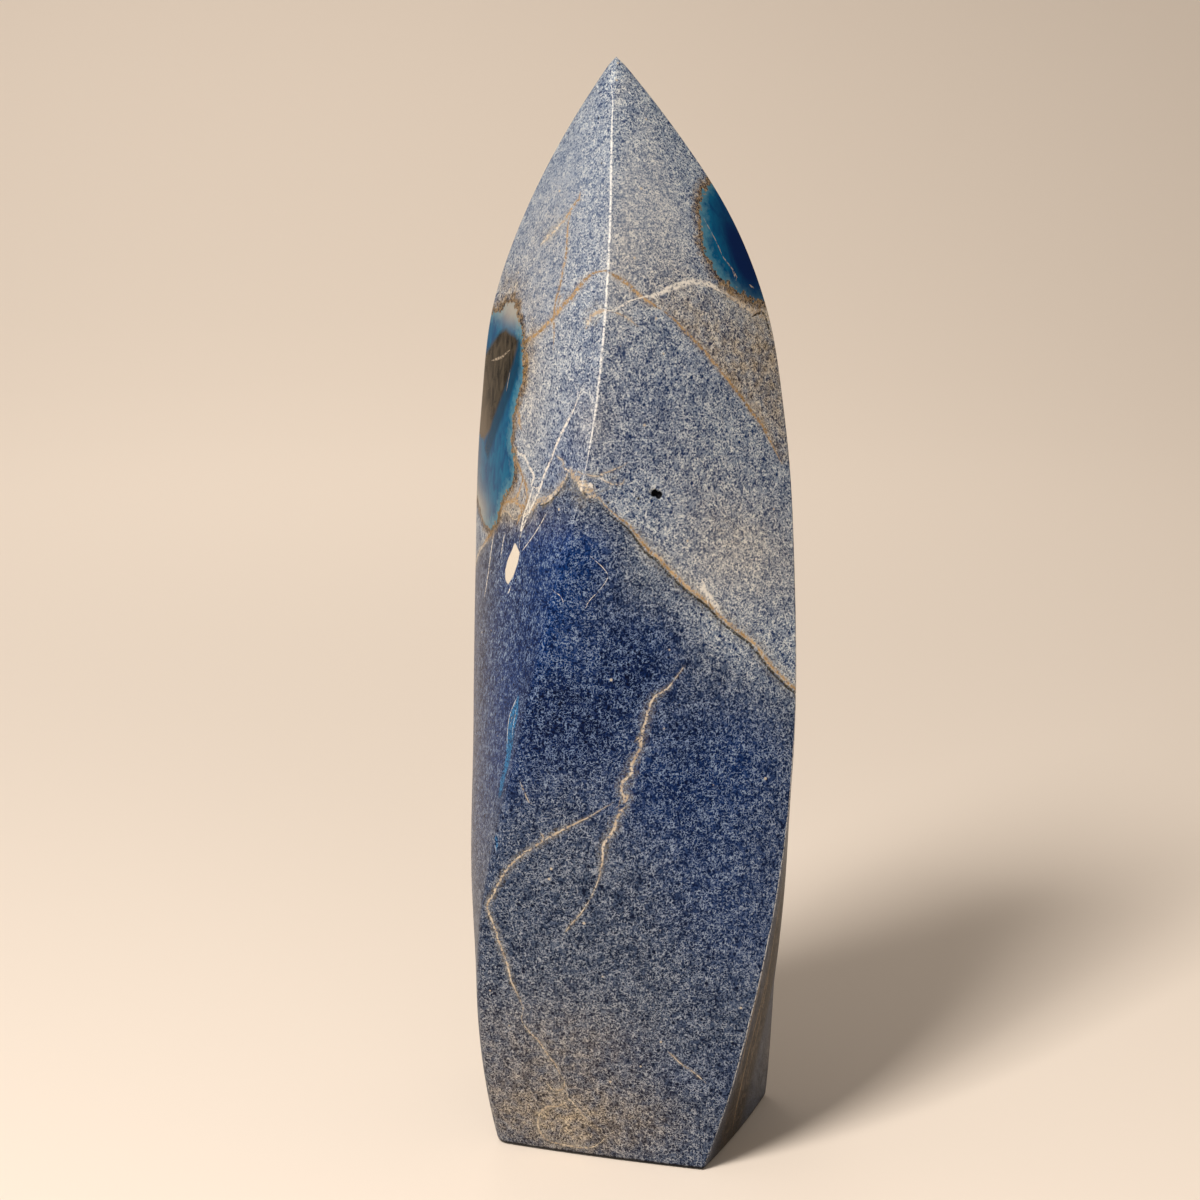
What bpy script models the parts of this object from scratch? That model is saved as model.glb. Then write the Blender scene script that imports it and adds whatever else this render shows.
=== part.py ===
"""A polished freeform tower of trolleite: one natural stone, cut and polished in one piece.

The stone stands on a flat sawn foot. Its section is a square with bowed sides and rounded
corners. Going up, the section swells to a belly, turns steadily to the left about the upright
axis, narrows, and closes in curved faces to a sharp tip that leans a little to one side.
The frame has its origin in the middle of the foot, +Z up, and the foot's sides run along X and Y.
"""

import math

import bmesh
import bpy
import numpy as np

MM = 0.001

# Driving dimensions, in millimetres and degrees.
# One row for each station of the profile: height, side of the square, turn, lean of the centre.
STATIONS = (
    (0.0, 45.0, 0.0, 0.0),       # sawn foot
    (14.0, 50.4, 6.0, -0.4),
    (33.0, 55.3, 11.5, -0.6),
    (55.0, 57.8, 19.2, -1.2),    # belly, the widest place
    (85.0, 55.7, 29.5, -1.0),
    (120.0, 50.1, 40.0, -0.7),
    (150.0, 44.5, 50.5, -0.9),
    (172.0, 39.0, 54.8, -1.4),   # shoulder, where the faces start to close
    (190.0, 28.9, 55.4, -1.8),
    (206.0, 15.3, 55.0, -2.9),
    (220.0, 0.6, 54.5, -3.9),    # tip
)
TIP_HEIGHT = STATIONS[-1][0]
LEAN_BEARING = 19.6              # degrees from +X, the line that the centre leans along
FRONT_EDGE = 45.0                # degrees from -Y towards -X, where the front edge starts at the foot

FOOT_BOW = 0.015                 # how far a side bows out, as a share of the side
BODY_BOW = 0.062
BOW_HEIGHT = 60.0                # the sides reach their full bow here

# Rounding of the four upright edges: (height, radius) pairs for each, in millimetres.
# The front edge is softened over the lower two thirds and crisp above them.
EDGE_RADII = {
    "front": ((0.0, 3.0), (66.0, 3.0), (110.0, 2.4), (136.0, 1.0), (158.0, 0.5), (220.0, 0.5)),
    "right": ((0.0, 0.6), (110.0, 0.8), (220.0, 0.5)),
    "rear": ((0.0, 1.4), (110.0, 1.0), (220.0, 0.5)),
    "left": ((0.0, 2.0), (176.0, 2.0), (220.0, 0.5)),
}
LARGEST_EDGE_SHARE = 0.16        # near the tip no radius is more than this share of the side

FOOT_BEVEL = 0.8                 # worn edge round the foot
FOOT_BEVEL_STEPS = 3

SIDE_STEPS = 10                  # faces across each side
EDGE_STEPS = 4                   # faces round each upright edge
RING_COUNT = 46                  # rings from the foot to the tip
RING_CROWDING = 1.3              # above 1 the rings crowd towards the tip
SHARP_ANGLE = 40.0               # degrees between faces, past which an edge is shaded sharp

STONE_COLOUR = (0.135, 0.165, 0.225, 1.0)
STONE_ROUGHNESS = 0.22


def smooth_value(height, column):
    """Read one column of STATIONS at a height, along a smooth curve through the stations."""
    heights = np.array([row[0] for row in STATIONS])
    values = np.array([row[column] for row in STATIONS])
    spans = np.diff(heights)
    rises = np.diff(values) / spans
    slopes = np.empty(len(values))
    slopes[1:-1] = (rises[:-1] * spans[1:] + rises[1:] * spans[:-1]) / (spans[:-1] + spans[1:])
    slopes[0] = rises[0] + (rises[0] - rises[1]) * spans[0] / (spans[0] + spans[1])
    slopes[-1] = rises[-1] + (rises[-1] - rises[-2]) * spans[-1] / (spans[-1] + spans[-2])
    low = int(np.clip(np.searchsorted(heights, height, side="right") - 1, 0, len(spans) - 1))
    t = (height - heights[low]) / spans[low]
    start = values[low] * (2 * t**3 - 3 * t**2 + 1) + slopes[low] * spans[low] * (t**3 - 2 * t**2 + t)
    end = values[low + 1] * (3 * t**2 - 2 * t**3) + slopes[low + 1] * spans[low] * (t**3 - t**2)
    return float(start + end)


def bow_at(height):
    """The bow of the sides eases in from the straight-sided foot."""
    t = min(height / BOW_HEIGHT, 1.0)
    return FOOT_BOW + (BODY_BOW - FOOT_BOW) * t * t * (3.0 - 2.0 * t)


def edge_radius(name, height, side):
    """Rounding of one upright edge at a height."""
    heights, radii = zip(*EDGE_RADII[name])
    return min(float(np.interp(height, heights, radii)), LARGEST_EDGE_SHARE * side)


def arc(centre, radius, start, end, steps):
    """Points on an arc, with angles measured from -Y towards +X."""
    angles = [start + (end - start) * step / steps for step in range(steps + 1)]
    return [(centre[0] + radius * math.sin(a), centre[1] - radius * math.cos(a)) for a in angles]


def outline_at(height, inset=0.0):
    """One section as eight arcs: four bowed sides, and a rounded edge between each pair."""
    side = smooth_value(height, 1) - 2.0 * inset
    half_arc = 2.0 * math.atan(2.0 * bow_at(height))
    side_radius = side / (2.0 * math.sin(half_arc))
    side_centre = side / 2.0 - side_radius * math.cos(half_arc)
    half_square = math.radians(45.0)

    # Each edge's arc touches both neighbouring sides from inside, so its centre is on the diagonal.
    edges = []
    for name in EDGE_RADII:
        radius = edge_radius(name, height, side)
        reach = (side_radius - radius) ** 2 - (side_centre * math.sin(half_square)) ** 2
        diagonal = side_centre * math.cos(half_square) + math.sqrt(reach)
        along = diagonal * math.cos(half_square) - side_centre
        touch = math.atan2(diagonal * math.sin(half_square), along)
        edges.append((radius, diagonal, touch))

    points = []
    for index, (radius, diagonal, touch) in enumerate(edges):
        next_touch = edges[(index + 1) % 4][2]
        corner = math.radians(90.0 * index)
        facing = corner + half_square
        edge_centre = (diagonal * math.sin(corner), -diagonal * math.cos(corner))
        points += arc(edge_centre, radius, corner - half_square + touch,
                      corner + half_square - touch, EDGE_STEPS)
        face_centre = (side_centre * math.sin(facing), -side_centre * math.cos(facing))
        points += arc(face_centre, side_radius, facing - touch, facing + next_touch, SIDE_STEPS)[1:-1]
    return points


def centre_at(height):
    """Where the middle of a section stands, after its lean."""
    lean = smooth_value(height, 3)
    bearing = math.radians(LEAN_BEARING)
    return lean * math.cos(bearing), lean * math.sin(bearing)


def ring_points(height, inset=0.0):
    """One section in place: turned about the upright axis, leaned and raised to its height."""
    turn = math.radians(smooth_value(height, 2) - FRONT_EDGE)
    lean_x, lean_y = centre_at(height)
    points = []
    for x, y in outline_at(height, inset):
        points.append((
            (x * math.cos(turn) - y * math.sin(turn) + lean_x) * MM,
            (x * math.sin(turn) + y * math.cos(turn) + lean_y) * MM,
            height * MM,
        ))
    return points


def all_rings():
    """The rings from the foot up: first the worn edge of the foot, then the body."""
    rings = []
    for step in range(FOOT_BEVEL_STEPS):
        angle = math.radians(90.0) * step / FOOT_BEVEL_STEPS
        inset = FOOT_BEVEL * (1.0 - math.sin(angle))
        height = FOOT_BEVEL * (1.0 - math.cos(angle))
        rings.append(ring_points(height, inset))
    for ring in range(RING_COUNT):
        share = 1.0 - (1.0 - ring / RING_COUNT) ** RING_CROWDING
        rings.append(ring_points(FOOT_BEVEL + (TIP_HEIGHT - FOOT_BEVEL) * share))
    return rings


def stone_material():
    """Polished blue-grey stone."""
    material = bpy.data.materials.new("polished_trolleite")
    material.use_nodes = True
    shader = material.node_tree.nodes["Principled BSDF"]
    shader.inputs["Base Color"].default_value = STONE_COLOUR
    shader.inputs["Roughness"].default_value = STONE_ROUGHNESS
    shader.inputs["Metallic"].default_value = 0.0
    material.diffuse_color = STONE_COLOUR
    return material


def build_tower():
    """Skin the rings with faces, close the foot flat and the tip to a point."""
    mesh = bpy.data.meshes.new("tower")
    bm = bmesh.new()
    rings = [[bm.verts.new(point) for point in ring] for ring in all_rings()]
    for lower, upper in zip(rings, rings[1:]):
        for index in range(len(lower)):
            following = (index + 1) % len(lower)
            bm.faces.new((lower[index], lower[following], upper[following], upper[index]))
    bm.faces.new(list(reversed(rings[0])))
    tip_x, tip_y = centre_at(TIP_HEIGHT)
    tip = bm.verts.new((tip_x * MM, tip_y * MM, TIP_HEIGHT * MM))
    for index in range(len(rings[-1])):
        bm.faces.new((rings[-1][index], rings[-1][(index + 1) % len(rings[-1])], tip))
    bmesh.ops.recalc_face_normals(bm, faces=bm.faces)
    bm.to_mesh(mesh)
    bm.free()
    mesh.shade_smooth()
    mesh.set_sharp_from_angle(angle=math.radians(SHARP_ANGLE))
    mesh.materials.append(stone_material())
    tower = bpy.data.objects.new("tower", mesh)
    bpy.context.scene.collection.objects.link(tower)
    return tower


for old in list(bpy.data.objects):
    bpy.data.objects.remove(old, do_unlink=True)

build_tower()
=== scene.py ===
# %% [markdown]
# # A polished trolleite tower
#
# Trolleite is a blue aluminium phosphate that grows mixed with quartz, scorzalite and other
# minerals. This tower was sawn from one lump of it, ground to a twisted square with bowed sides and
# polished by hand. Nearly all that the eye sees is colour inside the stone: a grain as fine as
# worm tracks, veins of cream and gold, a navy zone, and two pools of blue-green. The shape is simple
# and smooth, so the lesson is mostly about a pattern that holds up close and from afar.

import math

import bpy
import numpy as np
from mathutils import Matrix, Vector
from mathutils.bvhtree import BVHTree
from mathutils.kdtree import KDTree


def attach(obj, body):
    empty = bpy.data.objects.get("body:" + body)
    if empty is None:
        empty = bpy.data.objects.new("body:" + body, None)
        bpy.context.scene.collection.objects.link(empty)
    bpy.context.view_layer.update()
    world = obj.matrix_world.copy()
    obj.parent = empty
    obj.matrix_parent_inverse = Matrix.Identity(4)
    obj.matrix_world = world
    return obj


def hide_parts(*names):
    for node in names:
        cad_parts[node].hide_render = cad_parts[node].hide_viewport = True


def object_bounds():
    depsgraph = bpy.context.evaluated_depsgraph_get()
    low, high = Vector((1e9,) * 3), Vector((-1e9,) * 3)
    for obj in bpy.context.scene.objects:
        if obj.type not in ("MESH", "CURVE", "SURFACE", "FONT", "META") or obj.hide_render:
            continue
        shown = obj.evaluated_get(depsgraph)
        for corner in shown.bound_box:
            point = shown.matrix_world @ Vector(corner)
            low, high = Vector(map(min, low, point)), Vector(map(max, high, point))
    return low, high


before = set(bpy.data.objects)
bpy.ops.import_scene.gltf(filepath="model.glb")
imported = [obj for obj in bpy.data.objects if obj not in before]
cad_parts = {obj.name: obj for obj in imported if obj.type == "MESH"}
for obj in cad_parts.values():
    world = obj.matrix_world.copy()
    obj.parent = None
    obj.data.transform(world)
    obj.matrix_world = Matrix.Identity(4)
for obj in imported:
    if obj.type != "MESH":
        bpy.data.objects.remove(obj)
cad_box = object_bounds()
MM = 0.001
print("the stone is", [round((high - low) / MM, 1) for low, high in zip(*cad_box)], "mm")

# %% [markdown]
# ## The camera
#
# A product photographer stands a little over half a metre away with a short telephoto lens, so the
# upright sides stay nearly parallel, and looks slightly down. We say where the camera is in
# plain sizes: how far from the stone's axis, how high, how far round, and how much it looks down.

# %% The camera
CAMERA_DISTANCE = 596.8      # mm from the stone's axis, along the floor
CAMERA_HEIGHT = 234.2        # mm above the floor
CAMERA_BEARING = 19.64       # degrees round to the right of the side that faces -Y
CAMERA_SIDESTEP = 7.06       # mm that the camera stands left of the line to the axis
CAMERA_DROP = 11.63          # degrees that it looks down
LENS = 90.0                  # mm, on a sensor 36 mm wide

bearing = math.radians(CAMERA_BEARING)
camera_data = bpy.data.cameras.new("camera")
camera_data.lens = LENS
camera_data.sensor_width = 36.0
camera = bpy.data.objects.new("camera", camera_data)
camera.location = (
    (CAMERA_DISTANCE * math.sin(bearing) - CAMERA_SIDESTEP * math.cos(bearing)) * MM,
    (-CAMERA_DISTANCE * math.cos(bearing) - CAMERA_SIDESTEP * math.sin(bearing)) * MM,
    CAMERA_HEIGHT * MM,
)
camera.rotation_euler = (math.radians(90.0 - CAMERA_DROP), 0.0, bearing)
bpy.context.scene.collection.objects.link(camera)
bpy.context.scene.camera = camera
print("camera at", [round(value / MM) for value in camera.location], "mm")

# %% [markdown]
# ## Helpers for colour and nodes
#
# Colours are written as the hex values that a colour picker shows. Blender's shaders want linear
# light instead, so one function turns one into the other. A second function adds a node, sets it
# and links it, and hands back the output that the next node needs.

# %% Colour and node helpers
def linear(hex_colour):
    """A #rrggbb colour as Blender's linear RGBA."""
    parts = [int(hex_colour[i:i + 2], 16) / 255.0 for i in (1, 3, 5)]
    return tuple(c / 12.92 if c <= 0.04045 else ((c + 0.055) / 1.055) ** 2.4 for c in parts) + (1.0,)


def add(kind, inputs, output=0, **settings):
    """Adds a node to the current tree, with settings, values and links, and returns an output."""
    node = tree.nodes.new(kind)
    for name, value in settings.items():
        setattr(node, name, value)
    for socket, value in inputs.items():
        if isinstance(value, bpy.types.NodeSocket):
            tree.links.new(value, node.inputs[socket])
        else:
            node.inputs[socket].default_value = value
    return node.outputs[output]


def new_material(name):
    """A material with an empty tree and a Principled shader, which are returned with it."""
    material = bpy.data.materials.new(name)
    material.use_nodes = True
    return material, material.node_tree, material.node_tree.nodes["Principled BSDF"]


print("a mid grey, linear:", [round(value, 3) for value in linear("#808080")])

# %% [markdown]
# ## Floor and light
#
# A stone shop shows a tower on a sweep of cream paper, lit by one soft box high on the front left,
# with the paper throwing light back from all round. The floor here is a disc whose rim
# curls up into a wall on every side, made by spinning a profile, so each view has the same plain
# ground. The shadow in such a picture falls to the back right and is soft at its far end.

# %% The paper sweep
SWEEP_FLAT = 1.0             # m from the middle to where the paper starts to rise
SWEEP_CURVE = 3.0            # m, radius of the rising curve
SWEEP_RISE = 40.0            # degrees, the slope at its rim
PAPER = "#f1e5d8"

profile = [(0.0, 0.0), (SWEEP_FLAT / 2, 0.0)]
for step in range(13):
    turn = math.radians(SWEEP_RISE * step / 12)
    profile.append((SWEEP_FLAT + SWEEP_CURVE * math.sin(turn), SWEEP_CURVE * (1.0 - math.cos(turn))))
sweep_mesh = bpy.data.meshes.new("sweep")
sweep_mesh.from_pydata([(x, 0.0, z) for x, z in profile], [(i, i + 1) for i in range(len(profile) - 1)], [])
sweep = bpy.data.objects.new("sweep", sweep_mesh)
bpy.context.scene.collection.objects.link(sweep)
screw = sweep.modifiers.new("spin", "SCREW")
screw.steps = 96
screw.render_steps = 96
screw.use_merge_vertices = True
screw.merge_threshold = 0.0001
screw.use_smooth_shade = True
paper, tree, shader = new_material("cream_paper")
shader.inputs["Base Color"].default_value = linear(PAPER)
shader.inputs["Roughness"].default_value = 0.85
shader.inputs["Specular IOR Level"].default_value = 0.2
sweep_mesh.materials.append(paper)
print("sweep", SWEEP_FLAT * 2, "m across")

# %% The lights and the room
STONE_MIDDLE = (0.0, 0.0, 0.11)      # m
KEY_BEARING = -13.5          # degrees, to the left of the camera
KEY_RISE = 43.5              # degrees above the floor
KEY_DISTANCE = 1.25          # m
# The pale line on the front edge is mostly a painted highlight laid on in the finish; the strip only adds to it.
STRIP_RISE = 30.0            # the tall strip beside the soft box draws the line on the front edge
FRONT_BEARING = 30.0
FRONT_RISE = 18.0
BACKDROP_BEARING = 210.0     # behind the stone, as the camera sees it


def place_at(bearing_deg, rise_deg, distance):
    """A place in metres, seen from the middle of the stone at a bearing and a rise."""
    turn, rise = math.radians(bearing_deg), math.radians(rise_deg)
    flat = distance * math.cos(rise)
    return Vector(STONE_MIDDLE) + Vector((flat * math.sin(turn), -flat * math.cos(turn), distance * math.sin(rise)))


def soft_light(name, place, aim, width, height, power, colour):
    """An area light at a place, turned to where it is aimed."""
    data = bpy.data.lights.new(name, "AREA")
    data.shape = "RECTANGLE"
    data.size = width
    data.size_y = height
    data.energy = power
    data.color = linear(colour)[:3]
    light = bpy.data.objects.new(name, data)
    light.location = place
    light.rotation_euler = (Vector(aim) - place).to_track_quat("-Z", "Y").to_euler()
    bpy.context.scene.collection.objects.link(light)
    return light


soft_light("soft_box", place_at(KEY_BEARING, KEY_RISE, KEY_DISTANCE), STONE_MIDDLE, 0.36, 0.36, 17.5, "#fff8f0")
soft_light("strip", place_at(KEY_BEARING, STRIP_RISE, KEY_DISTANCE), STONE_MIDDLE, 0.06, 1.0, 2.0, "#fff8f0")
soft_light("front_fill", place_at(FRONT_BEARING, FRONT_RISE, 1.6), STONE_MIDDLE, 0.8, 0.8, 2.0, "#fff6ee")
soft_light("backdrop_low", place_at(BACKDROP_BEARING, 35.0, 1.0), place_at(BACKDROP_BEARING, -6.0, 1.2), 0.5, 0.5,
           1.7, "#fff6ec")
soft_light("backdrop_high", place_at(BACKDROP_BEARING, 38.0, 2.0), place_at(BACKDROP_BEARING, 0.0, 2.2), 0.5, 0.5,
           6.3, "#fff6ec")
world = bpy.data.worlds.new("room")
world.use_nodes = True
world.node_tree.nodes["Background"].inputs["Color"].default_value = linear("#fff3e6")
world.node_tree.nodes["Background"].inputs["Strength"].default_value = 0.25
bpy.context.scene.world = world
bpy.context.scene.view_settings.view_transform = "Standard"

# %% [markdown]
# ## The stone's body
#
# The construction gives the stone as flat facets. A lapidary's last belt leaves no facets, so we
# copy it, merge the loose corners, turn the triangles back to quads and add a subdivision surface.
# The tip and the rim of the foot are creased, because they stay sharp on the real stone.

# %% A smooth copy of the solid
SUBDIVISION = 2

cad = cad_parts["tower"]
bpy.ops.object.select_all(action="DESELECT")
stone = bpy.data.objects.new("polished_tower", cad.data.copy())
bpy.context.scene.collection.objects.link(stone)
bpy.context.view_layer.objects.active = stone
stone.select_set(True)
bpy.ops.object.mode_set(mode="EDIT")
bpy.ops.mesh.select_all(action="SELECT")
bpy.ops.mesh.remove_doubles(threshold=0.000002)
bpy.ops.mesh.select_all(action="DESELECT")
bpy.ops.object.mode_set(mode="OBJECT")
mesh = stone.data
for face in mesh.polygons:
    face.select = face.normal.z < -0.999 and face.center.z < 0.0001
bpy.ops.object.mode_set(mode="EDIT")
bpy.ops.mesh.select_mode(type="FACE")
bpy.ops.mesh.dissolve_faces()
bpy.ops.mesh.select_all(action="INVERT")
bpy.ops.mesh.tris_convert_to_quads(face_threshold=math.pi, shape_threshold=math.pi)
bpy.ops.mesh.select_all(action="DESELECT")
bpy.ops.object.mode_set(mode="OBJECT")
print(len(mesh.vertices), "corners,", len(mesh.polygons), "faces after merging")

# %% [markdown]
# A crease of 1 tells the subdivision to keep an edge or a point as it is. Without it the tip would
# sink by half a millimetre and the foot would turn into a cushion.

# %% Crease and subdivide
FOOT_HEIGHT = 0.05 * MM      # anything lower than this is the flat foot
TIP_HEIGHT = cad_box[1].z - 0.05 * MM

foot_edges = mesh.attributes.new("crease_edge", "FLOAT", "EDGE")
for edge in mesh.edges:
    low = all(mesh.vertices[index].co.z < FOOT_HEIGHT for index in edge.vertices)
    foot_edges.data[edge.index].value = 1.0 if low else 0.0
tip_point = mesh.attributes.new("crease_vert", "FLOAT", "POINT")
for vertex in mesh.vertices:
    tip_point.data[vertex.index].value = 1.0 if vertex.co.z > TIP_HEIGHT else 0.0
smoothing = stone.modifiers.new("belt_smooth", "SUBSURF")
smoothing.levels = SUBDIVISION
smoothing.render_levels = SUBDIVISION
bpy.ops.object.modifier_apply(modifier=smoothing.name)
mesh = stone.data
print(len(mesh.polygons), "faces after subdivision, box", [round(d / MM, 2) for d in stone.dimensions])

# %% [markdown]
# ## Where the veins run
#
# A place on the stone is written as a geologist would log it: a bearing in degrees round the upright
# axis, measured from -Y towards +X, and a height in millimetres. One helper finds that place on the
# skin by shooting a ray out of the axis. A vein is then a short list of places with a width, and
# the computer draws the line between them along the skin.

# %% A place on the skin
skin = BVHTree.FromPolygons([v.co for v in mesh.vertices], [p.vertices for p in mesh.polygons])


def on_skin(bearing_deg, height_mm):
    """The point of the skin at a bearing and a height, in metres."""
    turn = math.radians(bearing_deg)
    start = Vector((0.0, 0.0, height_mm * MM))
    hit = skin.ray_cast(start, Vector((math.sin(turn), -math.cos(turn), 0.0)))[0]
    return hit if hit is not None else start


def smooth_route(places, step_mm=0.5):
    """Points along a smooth curve through (bearing, height) places, close together, on the skin."""
    rough = [np.array(on_skin(b, h)) for b, h in places]
    route = []
    for index in range(len(places) - 1):
        before = places[max(index - 1, 0)]
        start, end = places[index], places[index + 1]
        after = places[min(index + 2, len(places) - 1)]
        count = max(2, math.ceil(np.linalg.norm(rough[index + 1] - rough[index]) / (step_mm * MM)))
        for part in range(count):
            t = part / count
            bh = [
                0.5 * ((2 * q) + (r - p) * t + (2 * p - 5 * q + 4 * r - s) * t * t
                       + (3 * q - p - 3 * r + s) * t ** 3)
                for p, q, r, s in zip(before, start, end, after)
            ]
            route.append(np.array(on_skin(*bh)))
    route.append(rough[-1])
    return np.array(route)


print("the front at mid height is", [round(value / MM, 1) for value in on_skin(0, 110)], "mm from the origin")

# %% [markdown]
# The real stone has five kinds of line. Cream veins are quartz and feldspar in healed cracks, golden
# ones are the same stained by iron, white threads are later hairline cracks, the dark crack is one
# that never closed, and the blue streak is a seam of purer mineral. Each row below is
# one line: its width and its places. The rows from the hidden back carry the same lines on.

# %% The lines of the stone: width in mm, then (bearing, height) places
MAIN_LEFT = ((-112, 106), (-98, 114), (-82, 120.5), (-76, 122), (-67, 125), (-60, 127.7), (-55.5, 130.3), (-48, 131.5),
             (-40, 130.5), (-33, 131.8))
MAIN_MIDDLE = ((-33, 131.8), (-26.5, 133.1), (-24, 134.6), (-21, 135.6), (-17.6, 136.1), (-13.8, 136.9), (-11, 138.2),
               (-7.4, 140.4), (-5, 143))
MAIN_PEAK = ((-5, 143), (-2.8, 141.7), (1.3, 140), (3.5, 138.6), (6.2, 137.6))
MAIN_RIGHT = ((6.2, 137.6), (9.6, 135.3), (13.2, 133.5), (17, 131.9), (20.3, 129.6), (24.4, 126.9), (28.5, 125.3),
              (34, 122.3), (39, 119.9), (44.4, 117.7), (49.8, 115.5), (54.3, 112.8), (59.7, 110.2), (65, 107.7),
              (68.5, 104.9), (71.4, 102.1), (74.3, 99.9), (77.4, 97.6), (90, 91.5), (104, 84.5))
MAIN_BACK = ((104, 84.5), (122, 77), (140, 70), (158, 64), (176, 61), (194, 64), (212, 74), (228, 86), (240, 97),
             (248, 106))
STAIN_EDGE = ((30, 173.2), (37.5, 171.1), (42.8, 169.1), (48.4, 167), (53.9, 165), (59.3, 162.5), (64.6, 160.1),
              (69.7, 157.4), (74.6, 154.7), (78.9, 151.8), (83.1, 149), (85.5, 146), (89, 141))
CREAM = (
    (0.9, MAIN_LEFT),
    (1.1, MAIN_MIDDLE),
    (2.2, MAIN_PEAK),
    (0.8, MAIN_BACK),
    (0.8, ((-6.2, 142.5), (-8, 142.8), (-9.5, 143.6))),
    (0.7, ((-11.9, 136.8), (-16.9, 135.6), (-20.4, 134.8))),
    (1.3, ((-2, 169.5), (-0.5, 170.9), (1.1, 172.1), (4.4, 172.9), (7.1, 173.2))),
    (0.4, ((9.4, 172.8), (13.3, 172.1), (16.6, 171.1), (20.1, 169.9))),
    (1.9, ((63.8, 176.7), (69, 175.9), (75.4, 174.9), (80.7, 173.8), (86, 172.1), (91.2, 170.8), (96.5, 169.8),
           (104, 168), (112, 167), (128, 169), (140, 174))),
    (1.15, MAIN_RIGHT),
    (1.0, ((-27.5, 191), (-30.9, 189.2), (-35.7, 187.6), (-42.2, 185.8), (-48, 184))),
    (0.75, ((38, 104), (33.5, 101.1), (31.4, 99.9), (26.1, 98.1), (24.1, 95.6), (22.7, 93.2), (21.8, 90.9),
            (21.1, 88.7), (19.1, 86.4), (17.7, 84.7), (18.4, 83.8), (15.9, 82.2), (14.6, 81.4), (14.6, 79.6),
            (16.9, 78.8), (15.5, 78.1), (15.8, 76.8), (14.2, 75.8), (12.9, 74.3), (12.1, 72.3), (9.5, 70.2),
            (8.3, 68.4), (8.3, 66.3), (6.7, 62), (4, 58))),
    (0.5, ((21.3, 90.9), (19, 89.7))),
    (0.5, ((15.5, 76.6), (13.1, 75.9))),
    (0.3, ((4, 58), (0.7, 55), (-2, 53), (-5, 50.5))),
    (0.55, ((11.5, 77.6), (7.3, 76.2), (4.2, 75), (-1.4, 73.2), (-5.6, 71.7), (-9.7, 70.1), (-12.4, 68.6),
            (-15.8, 66.9), (-18.5, 64.9), (-20.9, 62.5), (-22.8, 60), (-24.2, 57.9), (-26, 55.5), (-24.7, 51.5),
            (-24, 47), (-23, 43), (-22.8, 39.5), (-21.3, 35.3), (-21, 33), (-22.3, 31))),
    (0.3, ((-9.3, 70.1), (-10.7, 71.5))),
    (0.15, ((-15.6, 82.3), (-14, 78.6), (-12.8, 77.2))),
    (0.4, ((-22.3, 31), (-20.7, 28.5), (-18, 26.5), (-15.5, 23.5), (-13, 21), (-11.5, 18.5))),
    (0.4, ((-10.9, 14), (-7.5, 12), (-5, 10), (-1.6, 8))),
    (0.35, ((-4, 142.7), (1.9, 142.3), (5.6, 141.9), (9.8, 142.7), (14, 143.5), (16.2, 144.2))),
    (0.3, ((6.6, 141.5), (10.5, 140.2), (14.1, 140.1), (15.2, 141.3))),
    (0.3, ((-7.2, 143.2), (-9.7, 144.2), (-13.3, 144.7))),
    (0.55, ((-10.5, 16.5), (-10.7, 13), (-15.5, 11.3), (-19.5, 11), (-23.5, 9), (-25.7, 6), (-25.3, 3.8),
            (-21.7, 2.3), (-13, 2), (-4, 2.1), (2.5, 3.6), (5, 5))),
    (0.45, ((-18, 17), (-16, 15), (-13, 15.3), (-11, 15.8), (-10.5, 18))),
    (0.25, ((31.5, 26), (36, 23.5), (41, 21.3), (45, 19))),
)
GOLD = (
    (0.75, ((-50, 162), (-44.4, 165), (-38.2, 166.4), (-31.5, 168), (-25.5, 170), (-20.6, 171.9), (-17.1, 173.5),
            (-13.5, 174.6), (-10.3, 176.2), (-5.5, 178.4), (-0.6, 179.8), (5.8, 180.4))),
    (0.6, ((5.8, 180.4), (9.8, 179.4), (14.1, 178.2), (18.2, 176.7), (22, 175.3), (27, 173.9), (32.2, 172.7))),
    (0.55, STAIN_EDGE),
    (0.4, MAIN_RIGHT),
    (0.7, ((-41.9, 163.4), (-40.5, 161.9), (-39.9, 160.3), (-42, 158.7), (-44.2, 157.2))),
    (0.8, ((-48.9, 152.6), (-44.9, 151.4), (-43.4, 149.9), (-40.7, 148.1))),
    (0.45, ((-23.1, 194.5), (-22.2, 193.2), (-25.7, 192), (-28, 190.8), (-30.9, 189.2))),
    (0.4, ((-26.8, 190.7), (-26.5, 188.2), (-24.1, 185.4), (-22.2, 182.6), (-22.2, 179.8), (-22.3, 176.9),
           (-23.4, 174.1), (-23.2, 171.2), (-21.3, 167.5), (-20.9, 164.6))),
    (0.5, ((-76, 159.5), (-68, 161), (-63, 162.5), (-56.5, 163.5))),
    (0.8, ((-36.4, 139.4), (-36.4, 137.3), (-38.6, 135.4), (-42.2, 134.1), (-48.6, 133.4), (-53, 132.4),
           (-55.7, 130.3), (-60.3, 127.7), (-66.6, 125.1), (-76.4, 122.2))),
    (0.7, ((-46.2, 143.5), (-42.1, 141.8), (-36.4, 139.4), (-32.9, 138), (-30.3, 136), (-31.4, 134), (-35, 131.8),
           (-36.2, 130.3), (-38.4, 129.2))),
    (0.6, ((-42.2, 134.1), (-35.7, 133.5), (-31.4, 134))),
    (0.4, ((68, 40.6), (67.8, 34.1), (65.4, 27.4), (65.1, 20), (68.6, 11.1), (73.5, 3.1))),
    (0.4, ((60.5, 45), (59, 39.7), (56.6, 32.1), (56.4, 23.9), (55.2, 19.2))),
    (0.3, ((73, 60), (71, 52), (70, 44), (72, 36), (75, 24), (78, 12))),
)
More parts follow.
